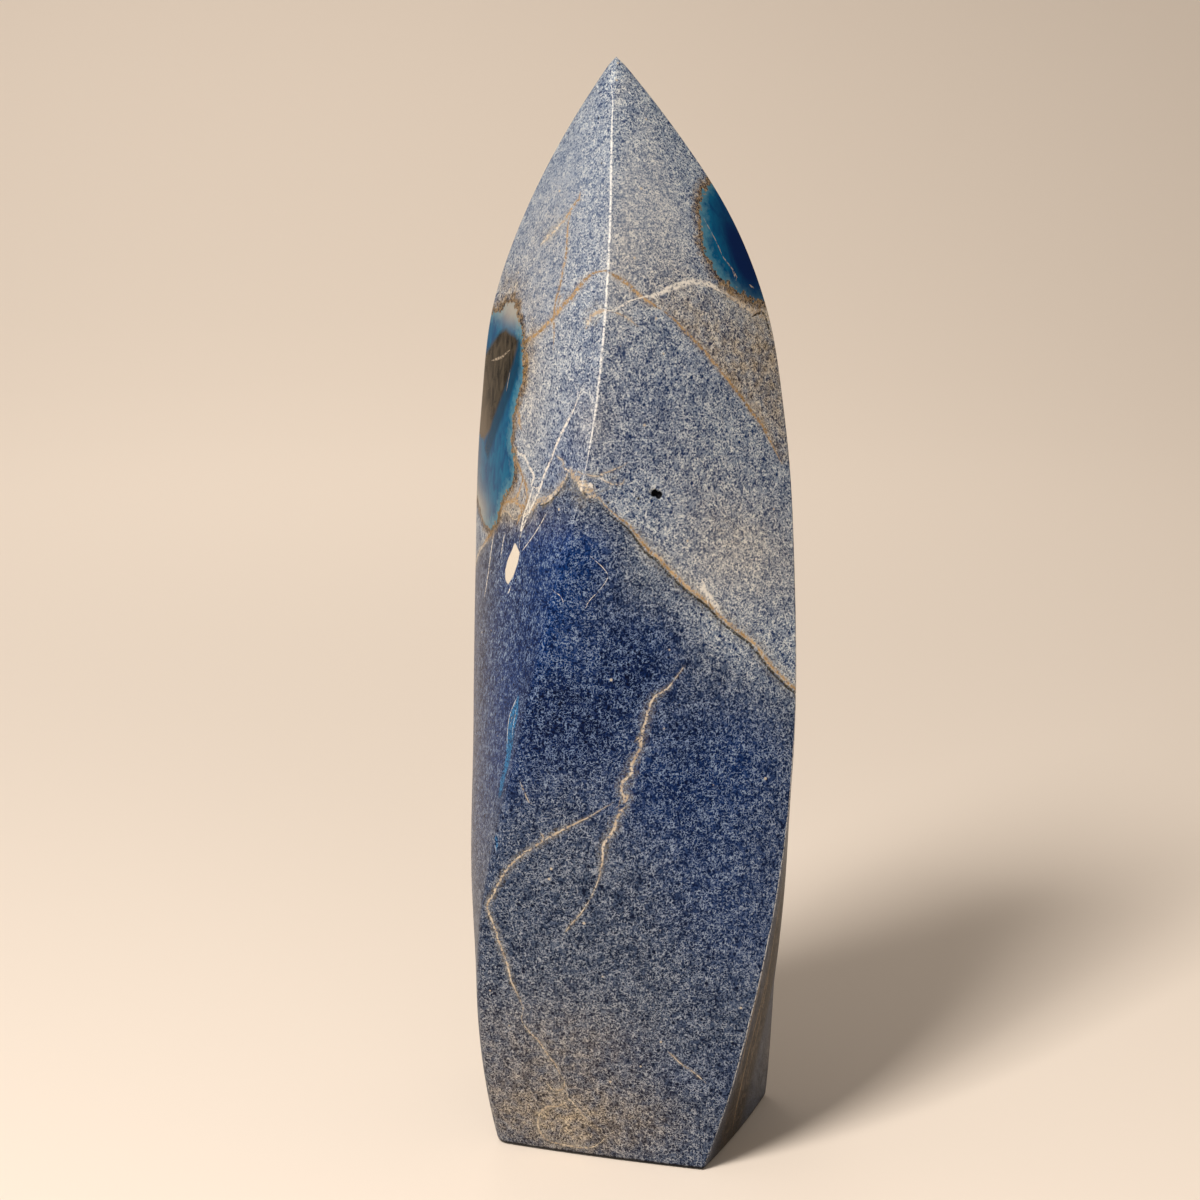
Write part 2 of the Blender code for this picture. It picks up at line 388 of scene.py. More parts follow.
WHITE = (
    (0.4, ((7.1, 173.2), (9.4, 173), (12.4, 173.6), (15.6, 174.5), (19.2, 175))),
    (1.35, ((31, 175.8), (36.5, 176.5), (45.7, 177.3), (54.9, 177.5), (64, 176.9), (72, 175.6))),
    (0.9, ((19.2, 175), (23.5, 175.3), (28.8, 175.5), (36.5, 176.5), (45.7, 177.3), (54.9, 177.5), (64, 176.9),
           (72.9, 175.4), (80.2, 173.8))),
    (0.55, ((-2, 158), (-5, 154.5), (-8, 151.8), (-10.4, 149.8), (-14, 146.5), (-16.6, 143.4), (-19.3, 141),
            (-20.8, 138.8), (-23.6, 136.1), (-28, 132.6), (-30.6, 130.3), (-33.1, 127.3), (-32.6, 125.4))),
    (0.6, ((-49, 145.9), (-41.8, 143.5), (-36.1, 143.3), (-31.2, 141.5), (-26.8, 140.1), (-27.8, 138.3),
           (-25, 137.7), (-22.1, 138.3))),
    (0.45, ((-27, 138.3), (-27, 137.3), (-29.6, 134), (-31.4, 132.1), (-33, 129), (-34.5, 126.5))),
    (0.2, ((-14.9, 134.2), (-19.3, 130.8), (-24.4, 127.8), (-30.8, 124.7))),
    (0.5, ((-60.1, 127.3), (-62.5, 123.7), (-64, 120.3), (-66.1, 116.1), (-69.4, 111.7))),
    (0.35, ((-47.6, 127.6), (-49.4, 124.7), (-50.3, 121.5))),
    (1.1, ((44.5, 119.2), (48, 118.2), (51, 116), (54, 113.6))),
    (0.5, ((46.5, 121), (48.2, 118.4), (48.8, 115.8))),
    (1.0, ((-6, 142.4), (-4.2, 143.2))),
    (0.9, ((2.6, 140.6), (4.4, 139.5))),
    (0.7, ((6.4, 141.5), (8.2, 140.8))),
    (0.4, ((-36.4, 117.7), (-39, 115.6))),
    (0.2, ((-20.2, 98), (-22.2, 96.1), (-24.1, 93.9), (-24.6, 91.7), (-24.1, 89.2), (-23.1, 87))),
    (0.15, ((-20.1, 96), (-20.5, 94), (-20.9, 91.7), (-20.5, 89.4))),
    (0.12, ((3.6, 126.4), (5.7, 125.2), (7.7, 124), (9.4, 122.4), (8.1, 120.8), (6.1, 119.3))),
    (0.12, ((-7.6, 119.8), (-5, 118.8), (-4, 117.2))),
    (0.12, ((6.1, 119.3), (3.6, 117.8), (1.8, 115.9))),
    (0.3, ((79.5, 186), (83, 184.5), (86, 183), (89, 181.3), (91, 179), (94, 177.5))),
)
THREAD = (
    (0.5, ((-74, 159.9), (-68.3, 160.7), (-63.5, 161.3), (-60.1, 162.3), (-56.4, 163.1))),
    (0.2, ((-57.3, 154.7), (-56, 157), (-54.5, 159.5))),
    (0.3, ((80, 182.1), (82.1, 180.7), (84.8, 179.1), (86.2, 177.2))),
    (0.2, ((84.3, 178.7), (84.6, 177.8), (85.1, 176.8))),
    (0.35, ((92.7, 176.2), (94, 175.6), (95.6, 175.1))),
    (0.2, ((74, 190), (77, 187), (79, 184.5), (80, 182.1))),
)
CRACK = (
    (0.6, tuple((place[0] - 0.8, place[1] - 0.5) for place in MAIN_RIGHT)),
    (0.6, ((88.6, 169.9), (92.8, 170.3), (95.9, 170.4), (97.1, 169.2), (97, 167.4), (96.7, 165.5))),
    (0.35, ((-22, 134.6), (-17, 135.2), (-12, 136.9), (-8, 139))),
    (0.5, ((-6.6, 141.2), (-5.4, 140.2))),
    (0.5, ((1.4, 139), (2.8, 138.1))),
    (0.5, ((4.4, 141), (5.4, 140.5))),
    (0.45, ((8.8, 137), (9.9, 136.2))),
)
print(sum(len(family) for family in (CREAM, GOLD, WHITE, THREAD, CRACK)), "lines")

# %% [markdown]
# The last lines are the upright edges. Handling and the polishing cloth leave them with tiny chips,
# and the lamps glint on them, so each gets a pale thread painted along it that is partly wear and
# partly a painted highlight. We only say about where each runs, and the helper slides each place
# to where the skin is farthest from the axis.

# %% The upright edges: wear and a painted highlight
EDGE = (
    (0.5, ((2, 139), (3.5, 150), (5, 160), (7, 172), (5.5, 190), (2, 198), (-4, 206), (-14, 212), (-30, 216),
           (-46, 218.4))),
    (0.28, ((45, 1.5), (51, 14), (57, 33), (64, 55), (74, 85), (85, 120))),
    (0.42, ((135, 1.5), (141, 14), (147, 33), (154, 55), (164, 85), (175, 120), (186, 150), (190, 172), (190, 190),
            (199, 198), (206, 206), (216, 211))),
    (0.30, ((-80, 176), (-79, 190), (-78, 206), (-77, 212))),
)
EDGE_SEARCH = 7.0            # degrees to either side in which the edge is looked for


def edge_route(places, step_mm=2.0):
    """Points along an upright edge that runs near (bearing, height) places."""
    turns, heights = [place[0] for place in places], [place[1] for place in places]
    route = []
    for height in np.arange(heights[0], heights[-1], step_mm):
        guess = float(np.interp(height, heights, turns))
        tries = [on_skin(turn, height) for turn in np.arange(guess - EDGE_SEARCH, guess + EDGE_SEARCH, 0.25)]
        route.append(max(tries, key=lambda point: point.xy.length))
    return np.array(route)


print("the front edge is at", [round(value / MM, 1) for value in edge_route(EDGE[0][1])[0]], "mm")

# %% [markdown]
# Two pools, a spindle and a seam of purer mineral have a rim, so each is a closed outline of places.

# %% Patches with a rim: an outline of (bearing, height) places, joined up
PATCHES = {
    "pool": (
        ((78, 192.5), (73, 190), (71.5, 187), (68, 185), (68.4, 182.5), (70.7, 180.5), (74.5, 178.2), (80, 176),
         (87, 174.6), (94, 173), (102, 172.5), (112, 174), (119, 179), (121, 185), (117, 191), (108, 195),
         (97, 195.5), (87, 194.5)),
        ((-66, 171.5), (-60, 172.4), (-55, 171), (-51, 169), (-46.5, 165), (-43.5, 161), (-43, 157.5),
         (-46.5, 154.5), (-49, 151), (-49, 148), (-49.5, 145), (-46, 143), (-43.5, 140), (-44.5, 137.5),
         (-52, 134.5), (-56, 132), (-58, 129), (-66, 126.5), (-76, 127), (-88, 131), (-97, 139), (-101, 149),
         (-99, 159), (-91, 166), (-80, 169), (-72, 170)),
    ),
    "band": (
        ((-50, 166), (-47, 165), (-46.5, 163), (-46.5, 160), (-49, 157.5), (-52, 155), (-56, 152), (-60, 149),
         (-64, 146.5), (-68, 143.5), (-73, 140), (-77, 142), (-72, 147), (-66, 152), (-60, 157), (-56, 162)),
    ),
    "core": (
        ((-62.3, 167), (-58.2, 166.4), (-52.3, 166), (-50, 165.2), (-50.2, 163.8), (-51.5, 162.1), (-52.6, 160.5),
         (-54.8, 158.8), (-56.2, 157.2), (-58.6, 155.4), (-61.2, 153.7), (-63.7, 151.9), (-66.2, 150.2),
         (-68.9, 148.4), (-71.6, 146.1), (-78.3, 143.5), (-88, 144.5), (-93, 149.4), (-91, 155), (-85, 159),
         (-80, 161), (-75.5, 163), (-71.5, 164.6), (-67.8, 166.1)),
    ),
    "spindle": (
        ((-37, 126.3), (-31.8, 124.6), (-32.6, 122.4), (-35.3, 119.6), (-39.6, 117.5), (-42.9, 118.3), (-44, 120.1),
         (-42.2, 122.5), (-39.2, 124.4)),
    ),
    "seam": (
        ((-19.7, 98.4), (-18.9, 96.4), (-18.6, 94.5), (-19.4, 91.5), (-19.4, 88.6), (-20.3, 84.6), (-21.8, 81.4),
         (-22.4, 78.4), (-24.2, 77.1), (-25.4, 77.8), (-25.5, 80.7), (-23.9, 84), (-23.4, 86), (-24.2, 87.8),
         (-24.9, 90.6), (-24.8, 93.6), (-22.7, 95.8)),
        ((-23.5, 70.4), (-22, 70.4), (-21.9, 68), (-22.5, 67.1)),
    ),
}
print(sum(len(outlines) for outlines in PATCHES.values()), "patches")

# %% [markdown]
# A vein drawn in the shader is only as sharp as the mesh that carries it. So the faces near each
# line are cut smaller before anything is measured, and those along the open crack and round the
# pits twice more, because there the skin itself is going to sink.

# %% Cut the faces smaller near the lines
PITS = ((27.1, 137.9, 0.75, 1.1), (28.9, 137.5, 0.75, 1.1), (-30.6, 208.4, 0.35, 0.3), (-8.9, 200.1, 0.3, 0.3), (85.7, 194.8, 0.35, 0.3),
        (20.5, 137.0, 0.4, 0.35), (35.9, 136.3, 0.35, 0.3), (18.9, 214.4, 0.3, 0.25))

families = {"cream": CREAM, "gold": GOLD, "white": WHITE, "thread": THREAD, "crack": CRACK}
routes = {name: [(width, smooth_route(places)) for width, places in rows] for name, rows in families.items()}
routes["edge"] = [(width, edge_route(places)) for width, places in EDGE]


def select_near(points, reach_mm):
    """Selects the faces whose middle is within reach of any of the points."""
    finder = KDTree(len(points))
    for index, point in enumerate(points):
        finder.insert(point, index)
    finder.balance()
    bpy.ops.object.mode_set(mode="EDIT")
    bpy.ops.mesh.select_mode(type="FACE")
    bpy.ops.mesh.select_all(action="DESELECT")
    bpy.ops.object.mode_set(mode="OBJECT")
    for face in stone.data.polygons:
        face.select = finder.find(face.center)[2] < reach_mm * MM


def cut_selected():
    """Cuts each selected face in four."""
    bpy.ops.object.mode_set(mode="EDIT")
    bpy.ops.mesh.subdivide(number_cuts=1, smoothness=0.0)
    bpy.ops.object.mode_set(mode="OBJECT")


line_points = [point for name, rows in routes.items() for width, route in rows for point in route]
rim_points = [point for outlines in PATCHES.values() for outline in outlines
              for point in smooth_route(outline + outline[:1], 1.0)]
pit_points = [on_skin(b, h) for b, h, size, depth in PITS]
crack_points = [point for width, route in routes["crack"] for point in route]
select_near(line_points + rim_points, 0.9)
cut_selected()
print(len(stone.data.polygons), "faces after the first cut")
for reach in (1.3, 1.0):
    select_near(crack_points + pit_points, reach)
    cut_selected()
mesh = stone.data
print(len(mesh.vertices), "points and", len(mesh.polygons), "faces after cutting")

# %% [markdown]
# ## Measuring each point of the mesh
#
# Each point now learns how far it is from each kind of line. We store the step to the nearest
# line as a vector, measured in half-widths of that line. A vector blends exactly across a face, so
# its length in the shader gives a crisp line even where the mesh is coarse. Halfway between two
# lines the vector flips over, and a second number, the plain distance, keeps a false line from
# showing there.

# %% Steps to the lines, stored on the points
SLACK = 0.8 * MM             # about the size of a face near a line
TAPER = 0.18                 # share of a line's length over which each end thins out

points = np.empty(len(mesh.vertices) * 3, np.float32)
mesh.vertices.foreach_get("co", points)
points = points.reshape(-1, 3)


def step_to_lines(rows, places, taper=TAPER):
    """For each place: the step to the nearest line in half-widths, and the distance in half-widths."""
    starts, ends, halves = [], [], []
    for width, route in rows:
        along = np.linspace(0.0, 1.0, len(route) - 1)
        thinning = np.clip(np.minimum(along, 1.0 - along) / taper, 0.25, 1.0) if taper else 1.0 + 0.0 * along
        starts.append(route[:-1])
        ends.append(route[1:])
        halves.append(0.5 * width * MM * thinning)
    starts = np.concatenate(starts).astype(np.float32)
    runs = np.concatenate(ends).astype(np.float32) - starts
    halves = np.concatenate(halves).astype(np.float32)
    lengths = (runs ** 2).sum(1) + 1e-12
    finder = KDTree(len(starts))
    for index, middle in enumerate(starts + runs / 2.0):
        finder.insert(middle, index)
    finder.balance()
    near = np.array([finder.find(place)[1] for place in places])
    near = np.clip(near[:, None] + np.array([-1, 0, 1]), 0, len(starts) - 1)
    gap = places[:, None] - starts[near]
    along = np.clip((gap * runs[near]).sum(2) / lengths[near], 0.0, 1.0)
    gap = along[..., None] * runs[near] - gap
    size = np.linalg.norm(gap, axis=2)
    best = size.argmin(1)
    every = np.arange(len(places))
    half = halves[near[every, best]]
    steps = gap[every, best] / half[:, None]
    reach = np.maximum(size[every, best] - SLACK, 0.0) / half
    return steps, reach


def store(name, kind, values):
    """Stores one value or vector for each point under a name."""
    layer = mesh.attributes.new(name, kind, "POINT")
    layer.data.foreach_set("vector" if kind == "FLOAT_VECTOR" else "value", np.ascontiguousarray(values).ravel())


for name, rows in routes.items():
    steps, reach = step_to_lines(rows, points)
    store(name + "_step", "FLOAT_VECTOR", steps)
    store(name + "_reach", "FLOAT", reach)
    print(name, "lines pass", int((reach <= 0).sum()), "points")

# %% [markdown]
# ## Zones and pools
#
# The rough was layered: pale grey-blue above the main vein, deep navy below it, then slate and at
# the bottom a brown stain. A zone has no sharp rim, so it is a sum of soft ovals, each placed and
# sized one by one. The two pools have a rim, so they are closed outlines, and each
# point stores how deep inside one it lies.

# %% Bearing and height of each point, soft ovals
ROUND = 36.0                 # mm, a usual distance from the axis, to turn degrees into mm along the skin

turn_of = np.degrees(np.arctan2(points[:, 0], -points[:, 1]))
height_of = points[:, 2] / MM


def soft_ovals(rows):
    """A sum of soft ovals: (bearing, height, half-width round, half-height, lean, strength)."""
    total = np.zeros(len(points), np.float32)
    for bearing_deg, height_mm, half_round, half_up, lean, strength in rows:
        across = (turn_of - bearing_deg + 180.0) % 360.0 - 180.0
        across = np.radians(across) * ROUND
        up = height_mm - height_of
        angle = math.radians(lean)
        x = (across * math.cos(angle) + up * math.sin(angle)) / half_round
        y = (up * math.cos(angle) - across * math.sin(angle)) / half_up
        total += strength * np.exp(-1.2 * (x * x + y * y))
    return total


MAIN_VEIN = MAIN_LEFT + MAIN_MIDDLE + MAIN_PEAK + MAIN_RIGHT + MAIN_BACK
vein_turns = np.array([place[0] for place in MAIN_VEIN], float)
vein_heights = np.array([place[1] for place in MAIN_VEIN], float)
order = np.argsort(vein_turns)
vein_at = np.interp((turn_of + 112.0) % 360.0 - 112.0, vein_turns[order], vein_heights[order])
under_vein = np.clip((vein_at - height_of) / 2.0 + 0.5, 0.0, 1.0)

store("slate", "FLOAT", np.clip(under_vein - soft_ovals((
    (64, 105, 19, 7, 38, 0.75), (2, 132, 7, 7, 0, 0.35), (27, 123, 12, 5, 40, 0.5), (50, 111, 10, 5, 40, 0.3),
    (-12, 28, 24, 14, 0, 0.12), (150, 55, 20, 14, 10, 0.4), (-140, 70, 16, 30, 0, 0.3),
)), 0.0, 1.0))

royal = under_vein * soft_ovals((
    (-18, 116, 12, 14, 0, 1.0), (-45, 104, 16, 24, 0, 0.9), (-4, 98, 20, 13, 0, 0.8), (0, 122, 9, 8, 0, 0.6),
    (-5, 130, 8, 6, 0, 0.45), (4, 128, 6, 5, 0, 0.45), (-20, 127, 9, 6, 0, 0.4), (-40, 122, 9, 8, 0, 0.35),
    (22, 108, 12, 9, 0, 0.6), (20, 80, 14, 11, 0, 0.45), (42, 84, 16, 15, 0, 0.55), (60, 86, 10, 14, 0, 0.4),
    (45, 64, 14, 14, 0, 0.45), (52, 50, 10, 12, 0, 0.25), (-22, 84, 9, 8, 0, 0.4), (-46, 76, 12, 18, 0, 0.9), (-90, 95, 20, 26, 0, 0.8),
    (-130, 70, 20, 20, 0, 0.5), (120, 55, 22, 20, 0, 0.6), (165, 60, 20, 20, 0, 0.6), (-170, 85, 14, 12, 0, 0.4),
))
royal += (1.0 - under_vein) * soft_ovals((
    (24, 147, 16, 12, 0, 0.3), (46, 160, 18, 9, 0, 0.25), (-9, 142, 9, 11, 0, 0.5), (5, 160, 12, 14, 0, 0.22),
    (-5, 184, 11, 12, 0, 0.15), (50, 134, 16, 6, 0, 0.12), (78, 140, 8, 10, 0, 0.1), (125, 140, 18, 16, 0, 0.35),
    (180, 120, 20, 24, 0, 0.3), (-130, 150, 20, 18, 0, 0.35),
))
store("royal", "FLOAT", np.clip(royal, 0.0, 1.0))

navy = under_vein * soft_ovals((
    (-22, 116, 12, 12, 0, 0.4), (22, 105, 9, 8, 0, 0.85), (12, 100, 10, 9, 0, 0.5), (-6, 96, 9, 9, 0, 0.9), (-12, 86, 9, 9, 0, 0.55),
    (4, 90, 8, 8, 0, 0.5), (5, 121, 6, 5, 0, 0.45), (14, 112, 6, 6, 0, 0.35), (36, 90, 8, 8, 0, 0.5),
    (45, 93, 7, 8, 0, 0.3), (44, 80, 14, 12, 0, 0.3), (28, 76, 12, 10, 0, 0.25), (50, 66, 14, 16, 0, 0.2),
    (-16, 106, 8, 10, 0, 0.3), (-64, 98, 14, 24, 0, 0.65), (-46, 72, 9, 14, 0, 0.55), (43, 54, 10, 14, 0, 0.15), (38, 24, 16, 12, 0, 0.25), (-110, 80, 18, 22, 0, 0.5), (-150, 50, 20, 30, 0, 0.3),
    (110, 60, 18, 22, 0, 0.4), (165, 45, 18, 20, 0, 0.5), (-165, 75, 14, 12, 0, 0.5),
))
navy += (1.0 - under_vein) * soft_ovals(((22, 150, 14, 8, 0, 0.12), (46, 160, 14, 7, 0, 0.1), (82, 123, 4, 12, 0, 0.2)))
store("navy", "FLOAT", np.clip(navy, 0.0, 1.0))

# Umber is partly the stone's brown rind and partly painted shade: it darkens the face beyond edge B, starting right at
# the edge and most towards the foot, where the lamps don't reach.
EDGE_B = (0, 14, 33, 55, 85, 120, 150, 172, 190), (45, 51, 57, 64, 74, 85, 96, 100, 100)
umber_and_shade = soft_ovals(((72, 8, 14, 22, 0, 1.5), (84, 40, 14, 24, 0, 1.3), (95, 70, 14, 22, 0, 1.1), (94, 118, 5, 26, 0, 1.0),
                    (103, 162, 5, 24, 0, 0.9)))
umber_and_shade *= np.clip(turn_of - np.interp(height_of, *EDGE_B), 0.0, 1.0)
store("umber_and_shade", "FLOAT", np.clip(umber_and_shade, 0.0, 1.0))

over_stain_edge = height_of - np.interp(turn_of, *zip(*STAIN_EDGE))
stained = soft_ovals(((56, 170, 22, 8, 25, 0.75), (78, 158, 11, 11, 25, 0.6), (95, 165, 8, 12, 0, 0.8),
                      (90, 148, 7, 10, 20, 0.6)))
stained *= np.clip(over_stain_edge / 1.2 + 0.5, 0.0, 1.0) * (0.85 + 0.7 * np.exp(-(over_stain_edge / 2.5) ** 2))

tan = stained + soft_ovals((
    (-66, 174, 12, 5, 0, 0.7), (-61, 132, 24, 4, 0, 0.9), (-40, 163, 5, 9, 0, 0.8), (-45, 186, 16, 9, 0, 0.25),
    (-15, 8, 22, 9, 0, 1.0), (-20, 24, 18, 12, 0, 0.35), (5, 26, 14, 10, 0, 0.2), (22, 10, 11, 7, 0, 0.3),
    (48, 140, 19, 10, 30, 0.12), (65, 127, 15, 8, 30, 0.25), (170, 70, 22, 9, 0, 0.5), (-150, 20, 20, 12, 0, 0.6),
    (120, 178, 16, 8, 0, 0.4), (150, 10, 20, 8, 0, 0.5),
))
store("tan", "FLOAT", np.clip(tan, 0.0, 1.0))

pale = (1.0 - under_vein) * soft_ovals((
    (-32, 168, 12, 16, 0, 0.3), (-59, 183, 16, 13, 0, 0.2), (-51, 134, 17, 5, 0, 0.8), (-34, 150, 10, 12, 0, 0.3),
    (68, 123, 14, 12, 0, 0.35), (32, 192, 16, 14, 0, 0.65), (46, 124, 14, 10, 0, 0.3), (-10, 214, 7, 5, 0, 0.3),
    (12, 184, 5, 16, 0, 0.5), (3, 152, 6, 8, 0, 0.3),
))
store("pale", "FLOAT", np.clip(pale, 0.0, 1.0))

# Painted sheen: a pale, low-contrast veil on the upper faces, where the polish would show the bright paper.
painted_sheen = soft_ovals(((-45, 192, 30, 18, 0, 0.95), (-40, 172, 18, 10, 0, 0.4), (35, 194, 26, 16, 0, 0.45)))
store("painted_sheen", "FLOAT", np.clip(painted_sheen, 0.0, 1.0))

streaky = soft_ovals(((-45, 118, 24, 20, 0, 1.2), (-60, 95, 16, 30, 0, 1.2), (-42, 70, 14, 20, 0, 1.0),
                      (-60, 185, 14, 22, 0, 0.9), (-20, 150, 8, 20, 0, 0.4), (75, 20, 14, 40, 0, 1.0),
                      (130, 40, 30, 40, 0, 0.9)))
store("streaky", "FLOAT", np.clip(streaky, 0.0, 1.0))
print("navy covers", round(float((navy > 0.5).mean()) * 100), "% of the points")

# %% Depth inside each patch
def inside_outline(outline):
    """True for each point whose bearing and height lie inside a closed outline."""
    corners = np.array(outline, float)
    inside = np.zeros(len(points), bool)
    for (b0, h0), (b1, h1) in zip(corners, np.roll(corners, -1, axis=0)):
        crosses = (h0 > height_of) != (h1 > height_of)
        edge_bearing = b0 + (height_of - h0) * (b1 - b0) / ((h1 - h0) or 1e-9)
        inside ^= crosses & (turn_of < edge_bearing)
    return inside


for name, outlines in PATCHES.items():
    depth = np.full(len(points), -30.0, np.float32)
    for outline in outlines:
        straight = np.array([on_skin(b, h) for b, h in outline + outline[:1]])
        steps, reach = step_to_lines([(2.0, straight)], points, taper=0)
        distance = np.linalg.norm(steps, axis=1)      # a half-width of 1 mm makes these millimetres
        depth = np.maximum(depth, np.where(inside_outline(outline), distance, -distance))
    store(name + "_depth", "FLOAT", depth)
    print(name, "covers", int((depth > 0).sum()), "points")
dark_side = soft_ovals(((100, 181, 11, 12, 0, 1.0), (92, 183, 5, 9, 0, 0.4)))
store("pool_dark", "FLOAT", np.clip(dark_side, 0.0, 1.0))
bleached = soft_ovals(((-80, 146, 7, 5, 0, 0.7), (-84, 155, 7, 7, 0, 0.4), (-60, 168, 6, 2.5, 0, 0.4)))
store("core_bleached", "FLOAT", np.clip(bleached, 0.0, 1.0))
weathered = soft_ovals(((-98, 138, 7, 16, 0, 1.0), (-84, 129, 10, 4, 0, 0.7), (-68, 174, 8, 5, 0, 0.5),
                        (-57, 170.5, 8, 3, 0, 0.7)))
store("pool_weathered", "FLOAT", np.clip(weathered, 0.0, 1.0))

# %% [markdown]
# ## Carving the open crack and the pits
#
# Polishing can't close a crack or a hole, so the tool's edge only rounds them. They are real hollows
# here too: each point gets a weight, and a Displace modifier pushes it in along its normal.

# %% Sink the skin where the stone is open
CRACK_DEPTH = 0.35           # mm


def sink(weights, depth_mm, name):
    """Pushes the skin in by a depth times each point's weight."""
    group = stone.vertex_groups.new(name=name)
    for index in np.flatnonzero(weights > 0.01):
        group.add([int(index)], float(weights[index]), "REPLACE")
    push = stone.modifiers.new(name, "DISPLACE")
    push.vertex_group = name
    push.mid_level = 0.0
    push.strength = -depth_mm * MM
    bpy.ops.object.modifier_apply(modifier=name)
    stone.vertex_groups.remove(stone.vertex_groups[name])


crack_step, crack_reach = step_to_lines(routes["crack"], points)
open_share = np.clip(1.15 - np.linalg.norm(crack_step, axis=1), 0.0, 1.0)
ragged = 0.6 + 0.4 * np.sin(points[:, 0] * 2100.0) * np.sin(points[:, 2] * 1700.0 + 1.0)
sink(open_share * ragged, CRACK_DEPTH, "crack")

pit_weight = np.zeros(len(points), np.float32)
for (bearing_deg, height_mm, half_size, pit_depth), middle in zip(PITS, pit_points):
    gap = np.linalg.norm(points - np.array(middle, np.float32), axis=1) / (half_size * MM)
    pit_weight = np.maximum(pit_weight, pit_depth * np.clip(1.3 * (1.0 - gap ** 2), 0.0, 1.0))
store("pit", "FLOAT", pit_weight)
sink(pit_weight / max(pit_weight.max(), 0.1), float(pit_weight.max()), "pits")
mesh = stone.data
print("deepest pit", round(float(pit_weight.max()), 2), "mm")

# %% [markdown]
# ## Unwrapping
#
# The skin is unrolled like a label round a bottle, with the foot in a corner of its own. The grain
# itself needs no map, because it is worked out in space, but whoever bakes it into a
# picture gets a picture that is filled to its edges.

# %% The map
SIDE_SHARE = 0.97            # of the map's width, for one turn round the stone
FOOT_SHARE = 0.1             # of the map's height, below the sides

uv = mesh.uv_layers.new(name="OFBake")
corner_points = np.empty(len(mesh.loops), np.int32)
mesh.loops.foreach_get("vertex_index", corner_points)
u = (turn_of[corner_points] + 180.0) / 360.0
v = FOOT_SHARE + (1.0 - FOOT_SHARE) * height_of[corner_points] / height_of.max()
for face in mesh.polygons:
    corners = slice(face.loop_start, face.loop_start + face.loop_total)
    if face.normal.z < -0.9 and face.center.z < 0.4 * MM:
        u[corners] = 0.05 + points[corner_points[corners], 0] * 1.9
        v[corners] = 0.05 + points[corner_points[corners], 1] * 1.9
    else:
        if u[corners].max() - u[corners].min() > 0.5:
            u[corners] = np.where(u[corners] < 0.5, u[corners] + 1.0, u[corners])
        u[corners] *= SIDE_SHARE
uv.data.foreach_set("uv", np.stack([u, v], 1).astype(np.float32).ravel())
bpy.ops.object.shade_smooth_by_angle(angle=math.radians(40.0), keep_sharp_edges=False)
print("map u from", round(float(u.min()), 2), "to", round(float(u.max()), 2))

# %% [markdown]
# ## The stone's finish
#
# Trolleite rock polishes to a soft gloss: its index is about 1.62, so it shines a little more than
# glass at a slant. The grain is single-octave noise cut at its middle, which gives worm-like tracks;
# a noise with many octaves would look like cloud.

# %% The grain
stone_finish, tree, shader = new_material("hand_polished_trolleite")
in_space = add("ShaderNodeTexCoord", {}, "Object")
in_mm = add("ShaderNodeVectorMath", {0: in_space, "Scale": 1000.0}, operation="SCALE")
tall = add("ShaderNodeVectorMath", {0: in_mm, 1: (1.0, 1.0, 0.4)}, operation="MULTIPLY")
TRACK_SCALE = 1.7           # noise cells per mm, which puts the tracks about 0.8 mm apart


def tracks(place, shift, scale, level, half_width):
    """Tracks where a single-octave noise passes a level: 1 on a track, 0 beside it."""
    moved = add("ShaderNodeVectorMath", {0: place, 1: (shift, shift / 3.0, shift / 2.0)}, operation="ADD")
    noise = add("ShaderNodeTexNoise", {"Vector": moved, "Scale": scale, "Detail": 0.0}, 0)
    away = add("ShaderNodeMath", {0: noise, 1: level}, operation="SUBTRACT")
    away = add("ShaderNodeMath", {0: away}, operation="ABSOLUTE")
    return add("ShaderNodeMapRange", {0: away, "From Min": 0.02, "From Max": half_width, "To Min": 1.0,
                                      "To Max": 0.0}, interpolation_type="SMOOTHSTEP")


def worm_grain(place):
    """Two crossing sets of tracks, so that none runs on for long."""
    first = tracks(place, 0.0, TRACK_SCALE, 0.5, 0.062)
    second = tracks(place, 7.3, 1.15 * TRACK_SCALE, 0.47, 0.055)
    return add("ShaderNodeMath", {0: first, 1: second}, operation="MAXIMUM")


streaky_here = add("ShaderNodeAttribute", {}, "Fac", attribute_name="streaky")
worms = add("ShaderNodeMix", {0: streaky_here, 2: worm_grain(in_mm), 3: worm_grain(tall)}, 0)
fading = add("ShaderNodeTexNoise", {"Vector": in_mm, "Scale": 0.9, "Detail": 1.0}, 0)
fading = add("ShaderNodeMapRange", {0: fading, "From Min": 0.34, "From Max": 0.54, "To Min": 0.4, "To Max": 1.0})
worms = add("ShaderNodeMath", {0: worms, 1: fading}, operation="MULTIPLY")
holes = add("ShaderNodeTexNoise", {"Vector": in_mm, "Scale": 2.3, "Detail": 0.0}, 0)
holes = add("ShaderNodeMapRange", {0: holes, "From Min": 0.32, "From Max": 0.47, "To Min": 0.5, "To Max": 0.0})
clumps = add("ShaderNodeTexNoise", {"Vector": in_mm, "Scale": 0.35, "Detail": 2.0}, 0)
clumps = add("ShaderNodeMapRange", {0: clumps, "From Min": 0.3, "From Max": 0.7, "To Min": 0.13, "To Max": 0.43})
grain = add("ShaderNodeMath", {0: worms, 1: 0.76, 2: clumps}, operation="MULTIPLY_ADD")
grain = add("ShaderNodeMath", {0: grain, 1: holes}, operation="SUBTRACT")
print(len(tree.nodes), "nodes for the grain")

# %% [markdown]
# The grain is a number from 0 to 1, and three tones turn it into colour: the dark gaps, the ground
# and the bright tracks. Each zone of the stone moves the three tones towards its own.

